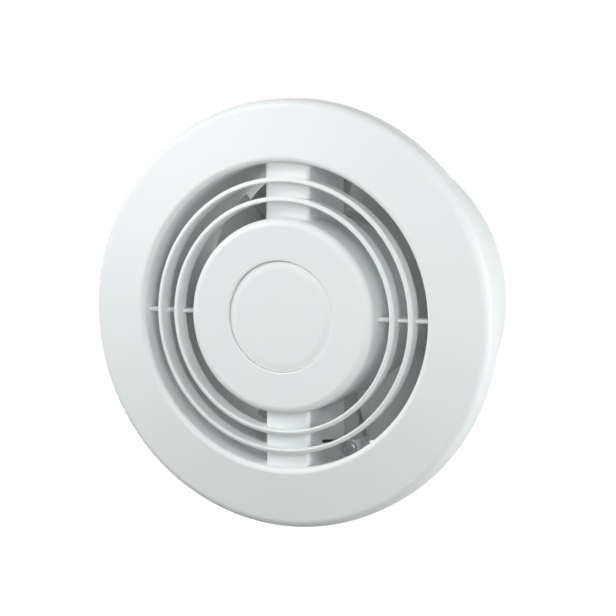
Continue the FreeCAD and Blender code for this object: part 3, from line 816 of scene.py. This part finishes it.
def hub_cup():
    boss_r = sink_r + boss_wall
    step_r = cap_r + recess_play + hub_wall
    hub_in_r = hub_r - hub_wall
    outline = rounded([
        (screw_hole_r, cap_peg_back),
        (sink_r, cap_peg_back),
        (sink_r, recess_floor),
        (cap_r + recess_play, recess_floor),
        (cap_r + recess_play, hub_front, recess_rounding),
        (hub_r, hub_front, hub_rounding),
        (hub_r, grille_back),
        (hub_in_r, grille_back),
        (hub_in_r, hub_front + hub_wall, hub_inner_rounding),
        (step_r, hub_front + hub_wall),
        (step_r, recess_floor + hub_wall),
        (boss_r, recess_floor + hub_wall),
        (boss_r, cap_peg_back + screw_seat),
        (screw_hole_r, cap_peg_back + screw_seat),
    ])
    cup = carved(turned(outline, "hub_cup"), cable_way())
    holes = cap_peg(cap_peg_r + cap_peg_play, recess_floor - cut_overrun, cap_peg_back + cut_overrun)
    grille_piece("hub_cup", carved(cup, holes))


def ring_vane(index):
    middle = hub_r + (index + 1) * vane_pitch
    front = vane_front(middle)
    half = vane_thick / 2
    back_inner = vane_draft - half
    name = "ring_vane_" + str(index + 1)
    grille_piece(name, grown(bpy.data.meshes.new(name), vane_sweep, {
        "Ring radius": middle,
        "Rounding": vane_rounding,
        "Steps": turn_steps,
        "Inner front": (-half, front - vane_slant / 2, 0),
        "Outer front": (half, front + vane_slant / 2, 0),
        "Outer back": (back_inner + vane_back_thick, front + vane_depth, 0),
        "Inner back": (back_inner, front + vane_depth, 0),
        "Finish": finishes["fascia_white"],
    }))


def grille_span(section, name):
    """A bar or spoke on each side, whose ends follow the hub's wall and the lip's wall."""
    inner = hub_r - hub_wall / 2
    return drawn(section, lambda p: math.sqrt(inner ** 2 - p[0] ** 2),
                 lambda p: math.sqrt(lip_middle_r ** 2 - p[0] ** 2), name)


def grille_bars():
    half = bar_width / 2
    inner = half - bar_wall
    floor = bar_front + bar_wall
    section = rounded([
        (-half, grille_back),
        (-half, bar_front, bar_rounding),
        (half, bar_front, bar_rounding),
        (half, grille_back),
        (inner, grille_back),
        (inner, floor, bar_inner_rounding),
        (-inner, floor, bar_inner_rounding),
        (-inner, grille_back),
    ])
    bar = grille_span(section, "grille_bars")
    grille_piece("grille_bars", repeated(bar, bar_count, math.pi / bar_count, finishes["fascia_white"]))


def grille_spokes():
    half = spoke_thick / 2
    section = rounded([
        (-half, bar_front, spoke_rounding),
        (half, bar_front, spoke_rounding),
        (half, bar_front + spoke_depth),
        (-half, bar_front + spoke_depth),
    ])
    spoke = grille_span(section, "grille_spokes")
    grille_piece("grille_spokes", repeated(spoke, spoke_count, 0, finishes["fascia_white"]))


def centre_cap():
    outline = rounded([
        (0, cap_front),
        (cap_r - cap_shoulder, cap_front, cap_rounding),
        (cap_r, cap_front + cap_drop, cap_edge_rounding),
        (cap_r, recess_floor),
        (0, recess_floor),
    ])
    plastic = finishes["fascia_white"]
    finished("cap_disc", turned(outline, "cap_disc"), plastic, "housing", "fascia_white", "centre_cap")
    pegs = cap_peg(cap_peg_r, recess_floor, cap_peg_back)
    finished("cap_pegs", pegs, plastic, "housing", "fascia_white", "centre_cap")


# Motor cradle

def slotted_cradle():
    """The cradle with a narrow slot through the side walls of its lower strut."""
    cradle = welded(frame["nodes"]["motor_cradle"].data.copy())
    half = strut_slot_half_width
    ends = ((strut_slot_front, strut_slot_front_drop), (strut_slot_back, strut_slot_back_drop))
    rings = []
    for y, drop in ends:
        low = -drop - strut_slot_height / 2
        high = -drop + strut_slot_height / 2
        rings.append([(-half, y, low), (half, y, low), (half, y, high), (-half, y, high)])
    slotted = carved(cradle, lofted(rings, "strut_slot"))
    plastic = finishes["cradle_white"]
    finished("slotted_cradle", slotted, plastic, "housing", "cradle_white", "motor_cradle")


# Impeller

# The impeller's finish is a little greyer than the housing's white, partly as painted shade of the
# duct's inside.
def impeller_piece(name, mesh):
    finished(name, mesh, finishes["impeller_grey"], "rotor", "impeller_grey", "impeller")


def impeller_hub():
    face = impeller_back - impeller_wall
    inner = core_r - impeller_wall
    bore = shaft_seat_r + fit_play
    outline = rounded([
        (bore, impeller_boss_front),
        (impeller_boss_r, impeller_boss_front),
        (impeller_boss_r, face),
        (inner, face),
        (inner, impeller_front),
        (core_r, impeller_front),
        (core_r, impeller_back, impeller_rounding),
        (bore, impeller_back),
    ])
    impeller_piece("impeller_hub", turned(outline, "impeller_hub"))


def impeller_ribs():
    half = impeller_rib_thick / 2
    inner = impeller_boss_r - impeller_wall / 2
    outer = core_r - impeller_wall / 2
    back = impeller_back - impeller_wall / 2
    side = [(inner, impeller_rib_front), (outer, impeller_rib_front), (outer, back), (inner, back)]
    rib = lofted([[(x, y, across) for x, y in side] for across in (-half, half)], "impeller_ribs")
    ribs = repeated(rib, blade_count, blade_first_angle, finishes["impeller_grey"])
    impeller_piece("impeller_ribs", ribs)


def blade_point(share, radius, side):
    """A point of the blade's skin, where share runs from -1 at the front edge to 1 at the back edge."""
    angle = math.atan(share * math.tan(blade_half_angle))
    x = radius * math.cos(angle)
    chord = Vector((blade_depth, 2 * x * math.tan(blade_half_angle))).normalized()
    half_thick = blade_thick / 2 * math.sqrt(max(0, 1 - abs(share) ** blade_edge_power))
    lift = blade_camber * (1 - share ** 2) + side * half_thick
    y = impeller_front + blade_inset + blade_depth * (share + 1) / 2 - chord.y * lift
    z = radius * math.sin(angle) + chord.x * lift
    trim = radius / math.hypot(x, z)
    return (x * trim, y, z * trim)


def impeller_blades():
    root = core_r - impeller_wall / 2
    around = 2 * blade_chord_steps
    rings = []
    for step in range(blade_span_steps + 1):
        radius = root + (tip_r - root) * step / blade_span_steps
        ring = []
        for turn in range(around):
            share = -math.cos(tau * turn / around)
            ring.append(blade_point(share, radius, 1 if turn < blade_chord_steps else -1))
        rings.append(ring)
    blade = lofted(rings, "impeller_blades")
    middle_angle = blade_first_angle + blade_half_angle
    blades = repeated(blade, blade_count, middle_angle, finishes["impeller_grey"])
    impeller_piece("impeller_blades", blades)


# Fasteners and shaft

def steel_piece(name, mesh, body, node):
    finished(name, mesh, finishes["steel"], body, "steel", node)


def grid_of(node, radius, columns, rows):
    """Grid inputs for a node's equal copies, from the frame's box and the radius of a copy."""
    low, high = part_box(node)
    across = (high[0] - low[0] - 2 * radius) / max(columns - 1, 1)
    up = (high[2] - low[2] - 2 * radius) / max(rows - 1, 1)
    return {
        "Columns": columns,
        "Rows": rows,
        "First": (low[0] + radius, 0, low[2] + radius),
        "Column step": (across, 0, 0),
        "Row step": (0, 0, up),
        "Finish": finishes["steel"],
    }


def cross_screws(node, head_r, head, shank_r, columns, rows):
    """Pan-head screws with a cross recess in place of a node's plain ones."""
    low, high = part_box(node)
    front = low[1]
    back = high[1]
    seat = front + head
    chamfer = shank_r * tip_chamfer_share
    screw = turned(rounded([
        (0, front),
        (head_r, front, head * head_round_share),
        (head_r, seat),
        (shank_r, seat),
        (shank_r, back - chamfer),
        (shank_r - chamfer, back),
        (0, back),
    ]), node, small_steps)
    half = head_r * recess_width_share / 2
    reach = head_r * recess_reach_share
    floor = front + head * recess_depth_share
    for x, z in ((half, reach), (reach, half)):
        screw = carved(screw, block((-x, front - cut_overrun, -z), (x, floor, z), "recess"))
    screws = grown(screw, on_grid, grid_of(node, head_r, columns, rows))
    steel_piece(node + "_crossed", screws, "housing", node)


def slotted_screws():
    """Headless clamping screws with a slot."""
    node = "terminal_clamp_screws"
    low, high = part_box(node)
    radius = clamp_screw_r
    screw = turned([(0, low[1]), (radius, low[1]), (radius, high[1]), (0, high[1])], node, small_steps)
    half = radius * slot_width_share / 2
    floor = low[1] + radius * slot_depth_share
    reach = radius + cut_overrun
    slot = block((-reach, low[1] - cut_overrun, -half), (reach, floor, half), "slot")
    spots = grid_of(node, radius, terminal_poles, screws_per_pole)
    steel_piece("clamp_screws_slotted", grown(carved(screw, slot), on_grid, spots), "housing", node)


def hex_nut(name, corner_r, hole_r, front, back):
    """A nut with its corners chamfered at both ends."""
    chamfer = corner_r * nut_chamfer_share
    angles = [tau * side / nut_sides for side in range(nut_sides)]
    corners = [(corner_r * math.cos(angle), corner_r * math.sin(angle)) for angle in angles]
    prism = lofted([[(x, y, z) for x, z in corners] for y in (front, back)], name)
    ring = turned([
        (hole_r, front - cut_overrun),
        (corner_r - chamfer, front - cut_overrun),
        (corner_r - chamfer, front),
        (corner_r + chamfer, front + chamfer),
        (corner_r + chamfer, back - chamfer),
        (corner_r - chamfer, back),
        (corner_r - chamfer, back + cut_overrun),
        (hole_r, back + cut_overrun),
    ], "nut_ring", small_steps)
    return carved(prism, ring, "INTERSECT")


def nuts():
    end_nut = hex_nut("end_nut", nut_high[0], thread_r + fit_play, nut_low[1], nut_high[1])
    steel_piece("end_nut", end_nut, "rotor", "impeller_nut")
    low, high = motor_nuts_low, motor_nuts_high
    nut = hex_nut("stack_nuts", motor_nut_r, bolt_r + fit_play, low[1], high[1])
    spots = grid_of("motor_bolts", bolt_head_r, columns=2, rows=2)
    steel_piece("stack_nuts", grown(nut, on_grid, spots), "housing", "motor_nuts")


def shaft():
    chamfer = shaft_r * nut_chamfer_share
    body = turned([
        (0, shaft_low[1]),
        (shaft_r - chamfer, shaft_low[1]),
        (shaft_r, shaft_low[1] + chamfer),
        (shaft_r, impeller_boss_front),
        (shaft_seat_r, impeller_boss_front),
        (shaft_seat_r, impeller_back),
        (0, impeller_back),
    ], "shaft_body", small_steps)
    steel_piece("shaft_body", body, "rotor", "motor_shaft")
    end = shaft_high[1]
    step = thread_pitch / thread_rows
    rings = []
    for row in range(int((end - impeller_back) / step) + 1):
        y = end - row * step
        ring = []
        for turn in range(small_steps):
            phase = (y / thread_pitch - turn / small_steps) % 1
            depth = thread_cut * (1 - abs(2 * phase - 1))
            radius = min(thread_r - depth, thread_r - thread_cut + (end - y))
            angle = tau * turn / small_steps
            ring.append((radius * math.cos(angle), y, radius * math.sin(angle)))
        rings.append(ring)
    steel_piece("shaft_thread", lofted(rings, "shaft_thread"), "rotor", "motor_shaft")


# Motor windings

def coils():
    """A layer of wire turns over a plain core on each pole."""
    outer = coils_high[0]
    inner = outer - coil_length
    low = coils_low[1]
    high = coils_high[1]
    half = coil_half_width
    copper = finishes["copper"]
    skin = block((inner, low + coil_wire, coil_wire - half),
                 (outer, high - coil_wire, half - coil_wire), "coil_cores")
    hole = block((inner - cut_overrun, low + coil_build, coil_build - half),
                 (outer + cut_overrun, high - coil_build, half - coil_build), "coil_hole")
    core = repeated(carved(skin, hole), pole_count, 0, copper)
    finished("coil_cores", core, copper, "housing", "copper", "stator_coils")
    turns = int(coil_length / coil_wire)
    layer = grown(bpy.data.meshes.new("coil_turns"), winding, {
        "Width": 2 * half - coil_wire,
        "Height": high - low - coil_wire,
        "Corner": coil_build,
        "Wire radius": (coil_wire - wire_gap) / 2,
        "Turns": turns,
        "First": (inner + coil_wire / 2, (low + high) / 2, 0),
        "Step": (coil_wire, 0, 0),
        "Finish": copper,
    })
    layers = repeated(layer, pole_count, 0, copper)
    finished("coil_turns", layers, copper, "housing", "copper", "stator_coils")


# Camera, stage and light

def photo_camera():
    data = bpy.data.cameras.new("photo_camera")
    camera = bpy.data.objects.new("photo_camera", data)
    bpy.context.scene.collection.objects.link(camera)
    level = math.cos(view_elevation)
    across = math.sin(view_azimuth) * level
    outward = Vector((across, -math.cos(view_azimuth) * level, math.sin(view_elevation)))
    camera.location = Vector((0, aim_y, 0)) + outward * camera_distance
    facing = (-outward).to_track_quat("-Z", "Y").to_matrix().to_4x4()
    camera.rotation_euler = (facing @ Matrix.Rotation(view_roll, 4, "Z")).to_euler()
    focal_pixels = pixels_per_metre * camera_distance
    data.sensor_width = sensor_width
    data.lens = focal_pixels / image_width * sensor_width
    data.shift_x = (image_width / 2 - centre_column) / image_width
    data.shift_y = (centre_row - image_width / 2) / image_width
    data.clip_start = near_clip
    bpy.context.scene.camera = camera


def seen_directly(tree):
    """1 for the camera's rays, reflections and what shows through, 0 for light that bounces."""
    path = tree.nodes.new("ShaderNodeLightPath").outputs
    seen = math_node(tree, "MAXIMUM", path["Is Camera Ray"], path["Is Glossy Ray"])
    return math_node(tree, "MAXIMUM", seen, path["Is Transmission Ray"])


def stage_white():
    """A pale floor whose directly seen glow is dimmed near the object as painted shade, so its real
    soft shadow shows there, and runs out to white further off.
    """
    material, tree, shader = new_material("stage_white")
    shader.inputs["Base Color"].default_value = (floor_shade, floor_shade, floor_shade, 1)
    shader.inputs["Roughness"].default_value = floor_roughness
    shader.inputs["Emission Color"].default_value = (1, 1, 1, 1)
    place = tree.nodes.new("ShaderNodeTexCoord")
    away = tree.nodes.new("ShaderNodeVectorMath")
    away.operation = "LENGTH"
    # Painted shade: the floor's glow for direct rays is dimmer near the object and brightens to white
    # further off.
    fade = tree.nodes.new("ShaderNodeMapRange")
    fade.inputs["From Min"].default_value = shadow_reach
    fade.inputs["From Max"].default_value = white_from
    fade.inputs["To Min"].default_value = painted_shade_glow
    fade.inputs["To Max"].default_value = stage_brightness
    tree.links.new(place.outputs["Object"], away.inputs[0])
    tree.links.new(away.outputs["Value"], fade.inputs["Value"])
    glow = math_node(tree, "MULTIPLY", fade.outputs["Result"], seen_directly(tree))
    tree.links.new(glow, shader.inputs["Emission Strength"])
    return material


def floor():
    edge = floor_half
    low = cad_box[0][2] - floor_drop
    mesh = bpy.data.meshes.new("floor")
    corners = [(-edge, -edge, low), (edge, -edge, low), (edge, edge, low), (-edge, edge, low)]
    mesh.from_pydata(corners, [], [(0, 1, 2, 3)])
    mesh.materials.append(stage_white())
    piece = bpy.data.objects.new("floor", mesh)
    bpy.context.scene.collection.objects.link(piece)


def softbox(name, lamp):
    data = bpy.data.lights.new(name, "AREA")
    data.size = lamp["size"]
    data.energy = lamp["power"]
    box = bpy.data.objects.new(name, data)
    box.location = lamp["place"]
    box.rotation_euler = (-Vector(lamp["place"])).to_track_quat("-Z", "Y").to_euler()
    bpy.context.scene.collection.objects.link(box)


def studio():
    world = bpy.data.worlds.new("studio")
    bpy.context.scene.world = world
    world.use_nodes = True
    tree = world.node_tree
    room = tree.nodes["Background"]
    room.inputs["Color"].default_value = (1, 1, 1, 1)
    room.inputs["Strength"].default_value = room_light
    seen = tree.nodes.new("ShaderNodeBackground")
    seen.inputs["Color"].default_value = (stage_brightness, stage_brightness, stage_brightness, 1)
    seen.inputs["Strength"].default_value = 1
    mix = tree.nodes.new("ShaderNodeMixShader")
    tree.links.new(seen_directly(tree), mix.inputs["Fac"])
    tree.links.new(room.outputs["Background"], mix.inputs[1])
    tree.links.new(seen.outputs["Background"], mix.inputs[2])
    tree.links.new(mix.outputs["Shader"], tree.nodes["World Output"].inputs["Surface"])
    for name, lamp in lamps.items():
        softbox(name, lamp)


fascia_shell()
fascia_ribs()
hub_cup()
for vane in range(vane_count):
    ring_vane(vane)
grille_bars()
grille_spokes()
centre_cap()
slotted_cradle()
impeller_hub()
impeller_ribs()
impeller_blades()
cross_screws("grille_screw", screw_head_r, screw_head, screw_r, columns=1, rows=1)
cross_screws("cradle_screws", screw_head_r, screw_head, screw_r, columns=2, rows=2)
cross_screws("motor_bolts", bolt_head_r, bolt_head, bolt_r, columns=2, rows=2)
cross_screws("terminal_fixing_screws", fixing_head_r, fixing_head, fixing_r, columns=2, rows=1)
slotted_screws()
nuts()
shaft()
coils()
photo_camera()
floor()
studio()
bpy.context.scene.view_settings.view_transform = "Standard"
